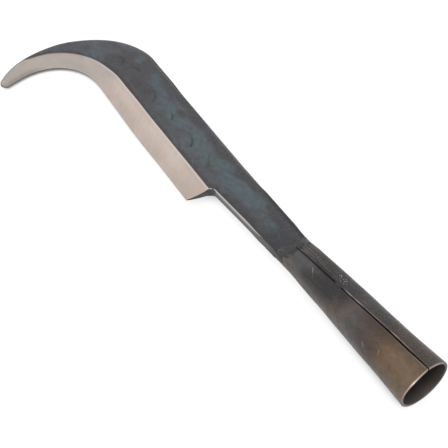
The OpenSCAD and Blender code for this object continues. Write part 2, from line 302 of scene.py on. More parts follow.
def bladeStations():
    # every section's spine point, edge point, half thickness, spine radius, slope width, half land,
    # extra cut of the under side and rounding of the shoulder
    f = bladeForm
    neckEnd = heelX - f["heelLean"]
    faceWide = f["width"] / math.cos(f["sweep"]) - f["bevel"]

    # neck: nearly straight sides, the front one flaring by a power of the distance into the heel
    t = np.linspace(0, 1, f["neckStations"])
    x = mix(shoulderX, neckEnd, t)
    flare = np.maximum(0, 1 - (neckEnd - x) / f["flareLen"]) ** f["flarePower"]
    straight = mix(f["neckFront"], f["flareFront"], (x - shoulderX) / (f["neckLen"] - f["flareLen"]))
    chamfered = plateau(x, *f["fullRun"])
    front = mix(straight, faceWide + f["chamferLeast"] - f["heelBack"], flare) + f["neckFull"] * chamfered
    back = -mix(f["neckBack"], f["heelBack"], t) - f["neckBulge"] * plateau(x, *f["bulgeRun"])
    half = mix(f["neckThick"], f["heelThick"], t) / 2 - f["neckThin"] * chamfered
    slope = mix(f["chamferLeast"], f["chamfer"], plateau(x, *f["chamferRun"]))
    neck = sections(np.stack([x, back], -1), np.stack([x, front], -1), half, f["spineRadius"], slope,
                    half - slope, f["underCut"] * plateau(x, *f["underRun"]))

    # heel: the edge side runs straight out, and the section is the wedge cut off at that width
    t = np.linspace(0, 1, f["heelStations"] + 1)[1:]
    x = heelX - f["heelLean"] * (1 - t ** f["heelRound"])
    back = np.full_like(t, -f["heelBack"])
    half = np.full_like(t, f["heelThick"] / 2)
    slope = mix(f["chamferLeast"], f["bevel"], t)
    heel = sections(np.stack([x, back], -1), np.stack([x, back + faceWide + slope], -1), half,
                    f["spineRadius"], slope, mix(half, f["land"] / 2, slope / f["bevel"]))

    # straight edge: two lines from the heel to the hook's root, the edge with its belly
    t = np.linspace(0, 1, f["edgeStations"] + 1)[1:]
    rootBump = bumps(-90, f["backBumps"])
    edge = sections(onBlade(hookU * t, rising(t, -rootBump, *f["spineRise"])),
                    onBlade(mix(hookU - f["edgeLen"], hookU, t), f["width"] + swell(t, *f["belly"])),
                    mix(f["heelThick"], f["hookThick"], t) / 2, f["spineRadius"],
                    f["bevel"] + swell(t, *f["bevelSwell"]) - rising(t, *f["bevelLess"]), f["land"] / 2)

    # hook, and a tip rounded off as half an ellipse
    end = hookEndAngle()
    t = np.linspace(0, 1, f["hookStations"] + 1)[1:]
    angle = mix(-math.pi / 2, end, t)
    hook = hookSections(angle, innerRadius(angle), backDistance(angle),
                        mix(f["hookThick"], f["tipThick"], t) / 2)
    t = np.sin(np.radians(np.linspace(0, f["tipTurn"], f["tipStations"] + 1)[1:]))
    middle = innerRadius(end) + f["tipWidth"] / 2
    reach = f["tipWidth"] / 2 * np.sqrt(1 - t * t)
    tip = hookSections(end + f["tipLen"] * t / middle, middle - reach, middle + reach,
                       f["tipThick"] / 2 * mix(1, f["tipEnd"], t * t))

    stations = [np.concatenate(parts) for parts in zip(neck, heel, edge, hook, tip)]
    root = f["neckStations"] + f["heelStations"] + f["edgeStations"] - 1
    stations[1] = eased(stations[1], root, f["rootEase"])
    return stations


def straightRow(a, b, count):
    # count points from a towards b, leaving out b; a and b are (stations, 2)
    t = np.arange(count) / count
    return a[:, None] + (b - a)[:, None] * t[None, :, None]


def roundCorner(before, at, after, size, count):
    # rounded corner: a quadratic curve from size before the corner to size after it, and both its ends
    d0 = (before - at) / np.linalg.norm(before - at, axis=-1, keepdims=True)
    d1 = (after - at) / np.linalg.norm(after - at, axis=-1, keepdims=True)
    p0, p1 = at + d0 * size, at + d1 * size
    t = (np.arange(count) / count)[None, :, None]
    return (1 - t) ** 2 * p0[:, None] + 2 * t * (1 - t) * at[:, None] + t * t * p1[:, None], p0, p1


spinePart, facePart, shoulderPart, slopePart, landPart = range(5)      # what a point of a section lies on


def halfSection(half, radius, slope, land, wide, soft):
    # upper half of every section as (stations, points, 2), from the spine's middle to the edge's middle:
    # spine, round, face, soft shoulder, slope, lip and land; the second value says what a point lies on
    def at(p, z):
        return np.stack([p + 0 * wide, z + 0 * wide], -1)
    f, count = bladeForm, bladeForm["sectionPoints"]
    faceStart, shoulder, lip, middle = at(radius, half), at(wide - slope, half), at(wide, land), at(wide, 0)
    soft = np.minimum(soft, slope * f["shoulderShare"])[:, None]
    lipSize = np.minimum(f["lipRound"], land * f["lipShare"])[:, None]
    turn = np.radians(np.arange(count["round"]) / count["round"] * 90)[None]
    spineRound = np.stack([radius[:, None] * (1 - np.cos(turn)),
                           half[:, None] - radius[:, None] * (1 - np.sin(turn))], -1)
    shoulderRound, faceEnd, slopeStart = roundCorner(faceStart, shoulder, lip, soft, count["shoulder"])
    lipRound, slopeEnd, landStart = roundCorner(shoulder, lip, middle, lipSize, count["lip"])
    parts = [
        (spinePart, straightRow(at(0, 0), at(0, half - radius), count["spine"])),
        (spinePart, spineRound),
        (facePart, straightRow(faceStart, faceEnd, count["face"])),
        (shoulderPart, shoulderRound),
        (slopePart, straightRow(slopeStart, slopeEnd, count["slope"])),
        (slopePart, lipRound),
        (landPart, straightRow(landStart, middle, count["land"])),
    ]
    kinds = np.concatenate([np.full(row.shape[1], kind) for kind, row in parts])
    return np.concatenate([row for kind, row in parts], 1), kinds


def hammerRelief(x, y, shift):
    # every mark is a shallow dish with a crisp rim; the second value is the dark line along part of
    # that rim, which stops short at its end angle and fades slowly the other way
    f = bladeForm
    dish = np.zeros_like(x)
    rim = np.zeros_like(x)
    for cx, cy, radius, depth, end, fading, dark in f["hammerMarks"]:
        dx, dy = x / mm - cx - shift, y / mm - cy
        far = np.hypot(dx, dy)
        dish = np.minimum(dish, -depth * np.clip(1 - (far / radius) ** 2, 0, None) ** f["dishPower"])
        back = signedDegrees(math.radians(end) - np.arctan2(-dx, -dy))
        part = swell(np.maximum(back, 0), rising(back, dark, *f["rimEnd"]), 0, fading)
        rim = np.maximum(rim, swell(far, part, radius, mix(*f["rimSpread"], part)))
    return dish * mm, rim


def bladePiece():
    # every section laid between its spine and edge points, the lower half mirrored with its own cut
    f = bladeForm
    spine, edge, half, radius, slope, land, under, soft = bladeStations()
    wide = np.linalg.norm(edge - spine, axis=-1)
    across = (edge - spine) / wide[:, None]
    upper, kind = halfSection(half, radius, slope, land, wide, soft)
    below = halfSection(half, radius, slope + under, land - under, wide, soft)[0]
    edgeMiddle = np.stack([wide, 0 * wide], -1)[:, None]
    section = np.concatenate([upper, edgeMiddle, below[:, :0:-1] * [1, -1]], 1)
    kind = np.concatenate([kind, [landPart], kind[:0:-1]])
    p, z = section[..., 0], section[..., 1]
    pastShoulder = p - (wide - slope)[:, None]
    x, y = np.moveaxis(spine[:, None] + across[:, None] * p[..., None], -1, 0)

    # rounded heel: its end face leans back towards the neck, and slants in below
    heelRow = np.arange(len(spine)) - f["neckStations"] + 1
    onHeel = (heelRow > 0) & (heelRow < f["heelStations"])
    lean = np.where(onHeel, 1 - np.abs(heelRow / f["heelStations"]) ** f["heelRound"], 0)
    x = x + lean[:, None] * rising(-z, *f["heelUnder"])

    # hammered and slightly uneven faces, fading out at the spine and at the ground slope
    away = np.minimum(p - radius[:, None], -pastShoulder)
    onFace = smooth(*f["faceFade"], away) * (kind == facePart)
    reliefs = zip(hammerRelief(x, y, 0), hammerRelief(x, y, f["underShift"]))
    dish, rim = [np.where(z > 0, upperSide, underSide) for upperSide, underSide in reliefs]
    z = z + np.where(z > 0, 1, -1) * onFace * (dish + ripple(x, y, f["faceWaves"]))

    # tang: an oval with a point for each of the first section's, run back into the socket
    cols = section.shape[1]
    turn = np.arctan2(y[0] / f["tangHalfWidth"], z[0] / f["tangHalfHeight"])
    sideways, up = superellipse(turn, f["tangSquare"])
    tangX = np.linspace(tangEndX, shoulderX, f["tangRows"])[:, None]
    oval = [v + 0 * tangX for v in (f["tangHalfWidth"] * sideways, f["tangHalfHeight"] * up)]
    tang = np.stack([tangX + 0 * turn] + oval, -1)
    points = np.concatenate([tang, np.stack([x, y, z], -1)])

    # ground steel: the slope and land, and less of the neck's chamfer the further down it goes
    inNeck = (heelRow <= 0)[:, None]
    fadeIn = np.clip(pastShoulder / soft[:, None], 0, 1)
    ground = np.where(kind >= slopePart, 1.0, np.where(kind == shoulderPart, fadeIn, 0.0))
    down = np.clip(pastShoulder / slope[:, None], 0, 1)
    bright = smooth(*f["chamferBright"], slope)[:, None] * (1 - f["chamferFade"] * down)
    ground = np.where(inNeck, bright * (kind == slopePart), ground)
    ground = np.where(onHeel[:, None] & (kind == landPart), 0, ground)
    marks = {
        "ground": ground,
        "hammer": rim * smooth(*f["rimFade"], away),
        "teal": patches(x, y, f["tealPatches"]),
        "purple": patches(x, y, f["purplePatches"]),
        "fromSpine": p,
        "pastShoulder": pastShoulder,
        "land": np.broadcast_to(kind == landPart, p.shape),
        "neckSide": inNeck & (kind >= slopePart),
    }
    noMark = np.zeros((f["tangRows"], cols))
    marks = {label: np.concatenate([noMark, values]) for label, values in marks.items()}
    step = np.linalg.norm(np.diff((spine + edge) / 2, axis=0), axis=-1)
    along = np.concatenate([[0], np.cumsum(step)])[:, None]
    uv = np.stack([np.concatenate([noMark, along + 0 * p]), np.concatenate([noMark, wide[:, None] - p])], -1)
    return makePiece("forgedBlade", points, closedTube(len(points), cols), marks, uv)


# socket: sheet rolled into a cone, open along the seam

socketForm = {
    "wall": 2.0 * mm, "wallUneven": 0.3, "wallThickest": 36,    # share, and degrees from the top
    "throatWidth": 26.6 * mm, "throatHeight": 11.4 * mm, "throatSquare": 3,
    "mouthShift": (-0.7 * mm, -0.9 * mm),               # the mouth hangs towards the spine's side and down
    "throatShift": 0.5 * mm, "throatFrom": 119 * mm,    # the throat lies a little towards the edge's side
    # beaten flatter and fuller near the mouth, slimmer half way: share of the size, angle, spread
    "flat": (0.14, 36, 36), "flatReach": 48 * mm, "full": (0.030, -68, 40), "fullReach": 170 * mm,
    "slim": (0.02, 95, 38),
    # hammered places, in mm and degrees: along, reach, angle, spread, height
    "beats": [(36, 16, -62, 35, -0.35), (14, 18, 118, 40, -0.5), (115, 7, 118, 40, -0.2),
              (108, 14, -62, 35, 0.2), (4, 10, 150, 40, 0.3), (4, 12, -42, 18, 0.2)],
    # hand-rolled unevenness, none near the mouth or the throat
    "waves": [(0.10 * mm, 60, 3.0, 0.4), (0.07 * mm, 140, 5.0, 1.9), (0.05 * mm, 230, 2.0, 0.7)],
    "calmMouth": (1 * mm, 12 * mm), "calmThroat": 14 * mm,
    "seamMouth": 1.1 * mm, "seamWidest": 1.65 * mm, "seamWideX": 28 * mm, "seamThroat": 0.4 * mm,
    "rimRound": 0.4 * mm, "seamRound": 0.35 * mm, "roundPoints": 6, "lengthPoints": 120, "turnPoints": 200,
    "seamSide": 80, "seamFar": 20 * mm,         # degrees beyond which a point counts as far away
    "turnScale": 0.015,                         # metres of the surface map per radian
    # painted light on the rim, strongest on its upper side, and its painted glint: size, angle, spread
    "rimPaintedLight": [(1, 38, 46), (0.35, -25, 22)], "rimGlint": (1, 44, 9),
    "lowSide": (38, 88, 120, 150),              # degrees of the sheet's low side towards the edge
    # soft patches of rust: centre along in mm, angle from the top towards the edge side, reaches, strength
    "rustPatches": [(121.5, 50, 3.4, 13, 1.0), (117, 60, 3.6, 12, 0.9), (126, 64, 2.8, 14, 0.8),
                    (124, 36, 2.4, 12, 0.5)],
    # bright places of the seam's edges, worn bare and with painted highlight, in mm: centre along, reach,
    # strength, and the side, which is
    # 1 towards the blade's edge and -1 towards its spine
    "seamShine": [(7, 9, 0.45, 1), (30, 20, 0.2, 1), (23, 8, 0.40, -1), (31, 4.5, 0.75, -1),
                  (50, 14, 0.36, -1), (66, 5, 0.75, -1), (75, 4, 0.85, -1)],
}
socketLen = socketHigh.x
mouthRadius = socketHigh.z


def sheetSize(x):
    # half width, half height and squareness of the sheet's outside at a distance x from the mouth
    f, t = socketForm, np.clip(x / socketLen, 0, 1)
    return (mix(2 * mouthRadius, f["throatWidth"], t) / 2, mix(2 * mouthRadius, f["throatHeight"], t) / 2,
            mix(2, f["throatSquare"], t * t))


def sheetShift(x):
    # sideways place of the section's middle: the mouth hangs off the axis one way, the throat the other
    f = socketForm
    return f["mouthShift"][0] * (1 - np.clip(x / socketLen, 0, 1)) \
        + rising(x, f["throatShift"], f["throatFrom"], socketLen)


def seamGap(x):
    # half the seam's width: widest a little way in from the mouth, closing towards the throat
    f = socketForm
    widths = [f["seamMouth"], f["seamWidest"], f["seamThroat"]]
    return np.interp(x, [0, f["seamWideX"], socketLen], widths) / 2


def sheetPoint(x, inset, angle):
    # superellipse point at an angle from the top towards +Y, set in from the outside; near the mouth
    # the edge side is beaten flatter, the spine's side fuller, and the whole section hangs a little off
    # the axis; half way along the edge side is slimmer
    f, degrees = socketForm, signedDegrees(angle)
    a, b, square = sheetSize(x)
    flat, full = [swell(degrees, *f[key]) * (1 - smooth(0, f[key + "Reach"], x)) for key in ("flat", "full")]
    hang = 1 - np.clip(x / socketLen, 0, 1)
    beaten = 1 - flat + full - swell(degrees, *f["slim"]) * np.sin(np.pi * hang)
    raised = sum(swell(x / mm, size * mm, place, reach) * swell(degrees, 1, turn, spread)
                 for place, reach, turn, spread, size in f["beats"]) - inset
    sideways, up = superellipse(angle, square)
    return np.stack([x + 0 * angle, sheetShift(x) + (a * beaten + raised) * sideways,
                     f["mouthShift"][1] * hang + (b * beaten + raised) * up], -1)


def socketPiece():
    # the wall's closed outline along the socket, carried round from one side of the seam to the other
    f = socketForm
    n = f["lengthPoints"]
    quarter = np.radians(np.linspace(0, 90, f["roundPoints"]))

    # outline: outside from the mouth, throat end, inside back, rounded rim
    outX = np.linspace(f["rimRound"], socketLen, n)
    rimX = f["rimRound"] * (1 - np.sin(quarter))
    rimIn = f["rimRound"] * (1 - np.cos(quarter))
    x = np.concatenate([outX, outX[::-1], rimX[1:], rimX[::-1][:-1]])
    inset = np.concatenate([np.zeros(n), np.full(n, f["wall"]), f["wall"] - rimIn[1:], rimIn[::-1][:-1]])
    number = np.arange(len(x))
    onRim = number >= 2 * n
    inside = (number >= n) & ~onRim

    # turns from one side of the seam to the other, crowded and thinned at both ends for soft edges
    endGap = f["seamRound"] * (1 - np.cos(quarter))
    endThin = f["seamRound"] * (1 - np.sin(quarter))
    gap = seamGap(x)
    halfWidth, _, square = sheetSize(x)
    sideShare = np.clip((gap + endGap[:, None]) / (halfWidth - inset), 0, 1)
    first = np.arcsin(sideShare ** (square / 2))
    start = first[-1]
    body = start + (2 * np.pi - 2 * start) * np.linspace(0, 1, f["turnPoints"])[1:-1, None]
    angle = np.concatenate([first, body, (2 * np.pi - first)[::-1]])
    thin = np.concatenate([endThin, np.zeros(len(body)), endThin[::-1]])[:, None]
    pull = np.where(inset < f["wall"] / 2, 1, -1) * ~onRim
    thicker = 1 + f["wallUneven"] * np.cos(angle - math.radians(f["wallThickest"]))
    away = np.broadcast_to(x, angle.shape)
    points = sheetPoint(away, inset * thicker + thin * pull, angle)

    # hand-rolled sheet: a slow unevenness of the outside and the inside together
    lively = plateau(x, *f["calmMouth"], socketLen - f["calmThroat"], socketLen)
    uneven = ripple(away, angle, f["waves"]) * lively
    points = points + np.stack([0 * angle, np.sin(angle), np.cos(angle)], -1) * uneven[..., None]

    # faces: the sheet, and at both sides of the seam a strip across the wall with the rim's rounded end
    rows, cols = angle.shape
    i = np.arange(n - 1)
    wallEnd = np.stack([i, i + 1, 2 * n - 2 - i, 2 * n - 1 - i], -1)
    rimEnd = np.concatenate([[0, 2 * n - 1], number[onRim]])[None]
    last = (rows - 1) * cols
    blocks = [gridFaces(rows, cols, wrapCols=True)]
    for sideEnd in (wallEnd, rimEnd):
        blocks += [sideEnd[:, ::-1], sideEnd + last]

    degrees = signedDegrees(angle)
    fromSeam = np.abs(points[..., 1] - sheetShift(away)) - gap
    marks = {
        "rim": np.broadcast_to(onRim, angle.shape),
        # painted light on the rim by its angle, and a painted glint
        "rimPaintedLight": np.clip(bumps(degrees, f["rimPaintedLight"]), 0, 1),
        "rimGlint": swell(degrees, *f["rimGlint"]),
        "inside": np.broadcast_to(inside, angle.shape),
        "fromSeam": np.where(np.abs(degrees) < f["seamSide"], fromSeam, f["seamFar"]),
        "rightFlap": degrees < 0,
        "lowSide": plateau(degrees, *f["lowSide"]),
        "rust": patches(away, degrees * mm, f["rustPatches"]),
        "shine": np.max([swell(away / mm, strength, middle, reach) * (np.sign(degrees) == side)
                         for middle, reach, strength, side in f["seamShine"]], 0),
    }
    return makePiece("rolledSocket", points, blocks, marks, np.stack([away, angle * f["turnScale"]], -1))


# throat weld: a low ring between the socket's end and the neck's shoulder

weldForm = {
    "crown": 0.02 * mm, "toe": 0.02 * mm,
    "runs": [(0.03 * mm, 27, 6, 0), (0.06 * mm, 7, 9, 1.3)],    # size, pace round, pace along, phase
    "neckSquare": 8, "boreHalfWidth": 10.7 * mm, "boreHalfHeight": 3.1 * mm, "boreSquare": 3,
    "around": 220, "along": 30, "toePower": 5,
}


def weldPiece():
    # outline blended from the throat's superellipse to the neck's squarer one, raised by a sine along the
    # weld and rippled by the runs of the weld; the bore inside lies round the tang
    f, b, s = weldForm, bladeForm, socketForm
    t = np.linspace(0, 1, f["along"])[:, None]
    angle = np.linspace(0, 2 * np.pi, f["around"], endpoint=False)[None]
    rise = f["toe"] + np.sin(np.pi * t) * (f["crown"] + ripple(angle, t, f["runs"]))
    centre = mix(s["throatShift"], (b["neckFront"] - b["neckBack"]) / 2, t)
    wide = mix(s["throatWidth"], b["neckFront"] + b["neckBack"], t) / 2 + rise
    high = mix(s["throatHeight"], b["neckThick"], t) / 2 + rise
    x = mix(weldLow.x, weldHigh.x, t) + 0 * angle
    sideways, up = superellipse(angle, mix(s["throatSquare"], f["neckSquare"], t * t))
    outside = np.stack([x, centre + wide * sideways, high * up], -1)
    sideways, up = superellipse(angle + 0 * t, f["boreSquare"])
    bore = np.stack([x, f["boreHalfWidth"] * sideways, f["boreHalfHeight"] * up], -1)[[-1, 0]]
    points = np.concatenate([outside, bore])
    rows, cols = points.shape[:2]
    toe = np.abs(2 * t - 1) ** f["toePower"] + 0 * angle
    return makePiece("throatWeld", points, [gridFaces(rows, cols, wrapRows=True, wrapCols=True)],
                     {"toe": np.concatenate([toe, np.zeros((2, cols))])})


# seam tack: a short plug of weld that bridges the seam, with a few beads of spatter beside it

tackForm = {
    "crown": 0.25 * mm, "lap": 0.6 * mm, "sunk": 0.1 * mm, "deep": 1.1,     # deep is a share of the wall
    "waist": 0.3, "waves": [(0.12, 9, 0, 0.5)], "seatAngle": 0.04, "around": 48, "along": 40,
    # beads: rings, points round, degrees from the equator to the last ring, length and height as shares of
    # the size, and depth in the sheet
    "beadRings": 9, "beadAround": 16, "beadTurn": 80,
    "beadLong": 1.3, "beadHigh": 0.6, "beadSunk": 0.15 * mm,
    # every bead: along in mm, angle from the top, size in mm
    "spatter": [(84.6, -22, 1.0), (86.2, -26, 0.8), (85.2, -16, 0.85), (87.2, -19, 0.7), (89.6, -21, 0.95),
                (90.6, -25, 1.05), (91.2, -20, 0.8), (84.2, -10, 0.7), (88.6, -13, 0.65), (86.6, -9, 0.8),
                (82.6, -14, 0.6)],
}


def tackPiece():
    # a plug along the seam: its outline swells and shrinks with a rounded length, high in the middle
    f = tackForm
    t = np.linspace(-1, 1, f["along"])[1:-1, None]
    angle = np.linspace(0, 2 * np.pi, f["around"], endpoint=False)[None]
    x = mix(tackLow.x, tackHigh.x, (t + 1) / 2) + 0 * angle
    full = np.sqrt(np.clip(1 - t ** 4, 0, 1)) * (1 + ripple(t, 0, f["waves"]))
    seat = sheetPoint(x, 0, f["seatAngle"] + 0 * x)[..., 2]
    y = sheetShift(x) + (seamGap(x) + f["lap"] * full) * np.sin(angle) * mix(f["waist"], 1, full)
    low, high = seat - socketForm["wall"] * f["deep"], seat + f["crown"] * full - f["sunk"]
    z = mix(low, high, (np.cos(angle) + 1) / 2)
    rows, cols = x.shape
    points = [np.stack([x, y, z], -1).reshape(-1, 3)]
    blocks = closedTube(rows, cols)

    # every bead of spatter is a flattened ball half sunk into the sheet
    rings, around = f["beadRings"], f["beadAround"]
    lat = np.radians(np.linspace(-f["beadTurn"], f["beadTurn"], rings))[:, None]
    lon = np.linspace(0, 2 * np.pi, around, endpoint=False)[None]
    ball = np.stack([f["beadLong"] * np.cos(lat) * np.cos(lon), np.cos(lat) * np.sin(lon),
                     f["beadHigh"] * np.sin(lat) + 0 * lon], -1).reshape(-1, 3)
    for number, (along, degrees, size) in enumerate(f["spatter"]):
        place = sheetPoint(np.array(along * mm), f["beadSunk"], math.radians(degrees))
        points.append(place + ball * size * mm / 2)
        tube = closedTube(rings, around, x.size + number * len(ball))
        blocks += [block[:, ::-1] for block in tube]
    points = np.concatenate(points)
    return makePiece("seamTack", points, blocks, {"bead": np.arange(len(points)) >= x.size})


# node tools

def plug(tree, socket, value):
    # a link from another node's socket, or a plain value
    if isinstance(value, bpy.types.NodeSocket):
        tree.links.new(value, socket)
    else:
        socket.default_value = value


def node(tree, kind, inputs=None, **settings):
    made = tree.nodes.new("ShaderNode" + kind)
    for key, value in settings.items():
        setattr(made, key, value)
    for key, value in (inputs or {}).items():
        plug(tree, made.inputs[key], value)
    return made


def calc(tree, operation, a, b=0.0, c=0.0):
    return node(tree, "Math", {0: a, 1: b, 2: c}, operation=operation).outputs[0]


def times(tree, a, b):
    return calc(tree, "MULTIPLY", a, b)


def vector(tree, operation, a, b):
    return node(tree, "VectorMath", {0: a, 1: b}, operation=operation).outputs[0]


def noise(tree, place, scale, detail, rough=0.5):
    inputs = {"Vector": place, "Scale": scale, "Detail": detail, "Roughness": rough}
    return node(tree, "TexNoise", inputs).outputs


def ramp(tree, value, low, high):
    # smooth step from 0 at low to 1 at high, falling when low is above high
    return node(tree, "MapRange", {"Value": value, "From Min": low, "From Max": high},
                interpolation_type="SMOOTHSTEP").outputs["Result"]


def fade(tree, length, low, high):
    # the same smooth step over a length, with low and high in mm
    return ramp(tree, length, low * mm, high * mm)


def band(tree, length, start, full, fall, end):
    # 0 outside start and end, 1 between full and fall, all in mm
    return times(tree, fade(tree, length, start, full), fade(tree, length, end, fall))


def rgb(r, g, b):
    # colour as seen on a screen, 0 to 255, turned into the linear value that the shader takes
    def linear(c):
        c = c / 255
        return c / 12.92 if c <= 0.04045 else ((c + 0.055) / 1.055) ** 2.4
    return (linear(r), linear(g), linear(b), 1.0)


def blendColor(tree, factor, a, b):
    # a and b are sockets, or tints as red, green and blue
    made = node(tree, "Mix", {0: factor}, data_type="RGBA")
    for key, color in ((6, a), (7, b)):
        plug(tree, made.inputs[key], rgb(*color) if isinstance(color, tuple) else color)
    return made.outputs[2]


def blendValue(tree, factor, a, b):
    return node(tree, "Mix", {0: factor, 2: a, 3: b}).outputs[0]


def painted(tree, color, look, coats):
    # coats laid over a colour one after the other: mask, strength, and a tint's name or a colour's socket
    for mask, strength, tint in coats:
        share = mask if strength == 1 else times(tree, mask, strength)
        color = blendColor(tree, share, color, look[tint] if isinstance(tint, str) else tint)
    return color


def mark(tree, name):
    return node(tree, "Attribute", attribute_name=name).outputs["Fac"]


def shifted(tree, value, wobble, amount):
    # a value pushed up and down by a noise round its middle
    return calc(tree, "MULTIPLY_ADD", calc(tree, "SUBTRACT", wobble, 0.5), amount, value)


def tintRamp(tree, value, length, look, stops):
    # colours blended along a length: every stop is a place in mm and the name of a tint
    made = node(tree, "ValToRGB", {"Fac": calc(tree, "DIVIDE", value, length)})
    elements = made.color_ramp.elements
    for place, tint in stops[1:-1]:
        elements.new(place * mm / length).color = rgb(*look[tint])
    for element, (place, tint) in ((elements[0], stops[0]), (elements[len(elements) - 1], stops[-1])):
        element.position = place * mm / length
        element.color = rgb(*look[tint])
    return made.outputs["Color"]


# node groups that several materials share

def newGroup(name, inputs, outputs):
    tree = bpy.data.node_groups.new(name, "ShaderNodeTree")
    for key, kind, value in inputs:
        socket = tree.interface.new_socket(key, in_out="INPUT", socket_type="NodeSocket" + kind)
        if value is not None:
            socket.default_value = value
    for key in outputs:
        tree.interface.new_socket(key, in_out="OUTPUT", socket_type="NodeSocketFloat")
    return tree, tree.nodes.new("NodeGroupInput").outputs, tree.nodes.new("NodeGroupOutput").inputs


def useGroup(tree, group, inputs):
    return node(tree, "Group", inputs, node_tree=group).outputs


def scaleGroup():
    # forge scale: cloudy patches bent by another noise, smaller blotches and fine grain
    inputs = [("Vector", "Vector", None), ("Patch", "Float", 40.0), ("Stretch", "Vector", (1, 1, 1))]
    tree, start, end = newGroup("forgeScale", inputs, ["Cloud", "Blotch", "Grain"])
    place = vector(tree, "MULTIPLY", start["Vector"], start["Stretch"])
    bend = vector(tree, "MULTIPLY", noise(tree, place, 60.0, 2.0)["Color"], (14 * mm, 14 * mm, 14 * mm))
    bent = vector(tree, "ADD", place, bend)
    cloud = noise(tree, bent, start["Patch"], 4.0, 0.55)[0]
    blotch = noise(tree, bent, times(tree, start["Patch"], 5.0), 3.0, 0.6)[0]
    grain = noise(tree, start["Vector"], 900.0, 4.0, 0.65)[0]
    plug(tree, end["Cloud"], ramp(tree, cloud, 0.34, 0.66))
    plug(tree, end["Blotch"], ramp(tree, blotch, 0.34, 0.66))
    plug(tree, end["Grain"], ramp(tree, grain, 0.3, 0.7))
    return tree


def grindGroup():
    # grinding lines: noise drawn out along one direction of the surface, in a fine and a coarse set
    inputs = [("Vector", "Vector", None), ("Angle", "Float", 0.7), ("Lines", "Float", 1500.0)]
    tree, start, end = newGroup("grindLines", inputs, ["Line", "Coarse"])
    turned = node(tree, "VectorRotate", {"Vector": start["Vector"], "Angle": start["Angle"]},
                  rotation_type="Z_AXIS").outputs[0]
    drawnOut = vector(tree, "MULTIPLY", turned, (1.0, 0.05, 1.0))
    fine = noise(tree, drawnOut, start["Lines"], 3.0, 0.6)[0]
    coarse = noise(tree, drawnOut, times(tree, start["Lines"], 0.22), 2.0)[0]
    plug(tree, end["Line"], ramp(tree, fine, 0.3, 0.7))
    plug(tree, end["Coarse"], ramp(tree, coarse, 0.3, 0.7))
    return tree


def scratchGroup():
    # one scratch: near a straight line of the plan view, from its start along its angle for its length
    inputs = [("Vector", "Vector", None), ("Start", "Vector", (0, 0, 0)), ("Angle", "Float", 0.0),
              ("Length", "Float", 10 * mm), ("Width", "Float", 0.4 * mm)]
    tree, start, end = newGroup("scratchLine", inputs, ["Line"])
    moved = vector(tree, "SUBTRACT", start["Vector"], start["Start"])
    turned = node(tree, "VectorRotate", {"Vector": moved, "Angle": times(tree, start["Angle"], -1.0)},
                  rotation_type="Z_AXIS").outputs[0]
    apart = node(tree, "SeparateXYZ", {0: turned}).outputs
    share = calc(tree, "DIVIDE", apart["X"], start["Length"])
    middle = calc(tree, "ABSOLUTE", calc(tree, "SUBTRACT", share, 0.5))
    side = calc(tree, "DIVIDE", calc(tree, "ABSOLUTE", apart["Y"]), start["Width"])
    near = times(tree, ramp(tree, middle, 0.55, 0.25), ramp(tree, side, 1.0, 0.2))
    upper = calc(tree, "GREATER_THAN", apart["Z"], 0.0)
    plug(tree, end["Line"], times(tree, near, upper))
    return tree


forgeScale = scaleGroup()
grindLines = grindGroup()
scratchLine = scratchGroup()


def scratches(tree, place, lines):
    # the strongest of several scratches: x, y, angle in degrees, length, width, all lengths in mm
    value = 0.0
    for x, y, turn, length, width in lines:
        inputs = {"Vector": place, "Start": (x * mm, y * mm, 0.0), "Angle": math.radians(turn),
                  "Length": length * mm, "Width": width * mm}
        value = calc(tree, "MAXIMUM", value, useGroup(tree, scratchLine, inputs)["Line"])
    return value


def emptyTree(owner, kind):
    # node tree of a material or a world with nothing but its output, and that output's socket
    owner.use_nodes = True
    owner.node_tree.nodes.clear()
    return owner.node_tree, owner.node_tree.nodes.new("ShaderNodeOutput" + kind).inputs[0]


def newSteel(name, patch, stretch=(1.0, 1.0, 1.0)):
    # material with its shader, the piece's own coordinates and its forge scale
    material = bpy.data.materials.new(name)
    tree, out = emptyTree(material, "Material")
    shader = node(tree, "BsdfPrincipled")
    plug(tree, out, shader.outputs[0])
    place = node(tree, "TexCoord").outputs["Object"]
    scale = useGroup(tree, forgeScale, {"Vector": place, "Patch": patch, "Stretch": stretch})
    return material, tree, shader, place, scale


def dress(tree, shader, inputs, height, strength, distance):
    # values into the shader, and a height through a bump into its normal
    for key, value in inputs.items():
        plug(tree, shader.inputs[key], value)
    bump = node(tree, "Bump", {"Strength": strength, "Distance": distance, "Height": height})
    plug(tree, shader.inputs["Normal"], bump.outputs[0])


bladeLook = {
    "base": (82, 84, 89), "grey": (95, 99, 105), "teal": (91, 106, 110), "blue": (86, 102, 113),
    "purple": (70, 66, 71), "char": (66, 64, 67), "throat": (54, 56, 62), "line": (36, 38, 42),
    "rim": (62, 58, 58), "pale": (124, 122, 120), "hookFace": (74, 72, 76), "neckSide": (108, 106, 103),
    "steel": (197, 180, 169), "steelLight": (221, 203, 191), "steelDark": (179, 164, 154),
    "steelGrey": (169, 162, 157), "steelPale": (218, 213, 211), "steelHeel": (176, 160, 148),
    # land is the painted shade on the edge's land
    "neckSteel": (200, 197, 194), "land": (92, 88, 87),
    # scratches, in mm and degrees: x, y, angle, length, width
    "nicks": [(142.0, 6.0, -41, 7, 0.5), (147, -3, 30, 5, 0.3)], "worn": [(320, 7.2, -7, 34, 1.4)],
    "caught": [(207.9, 16.0, 57, 3.0, 0.7)],
}


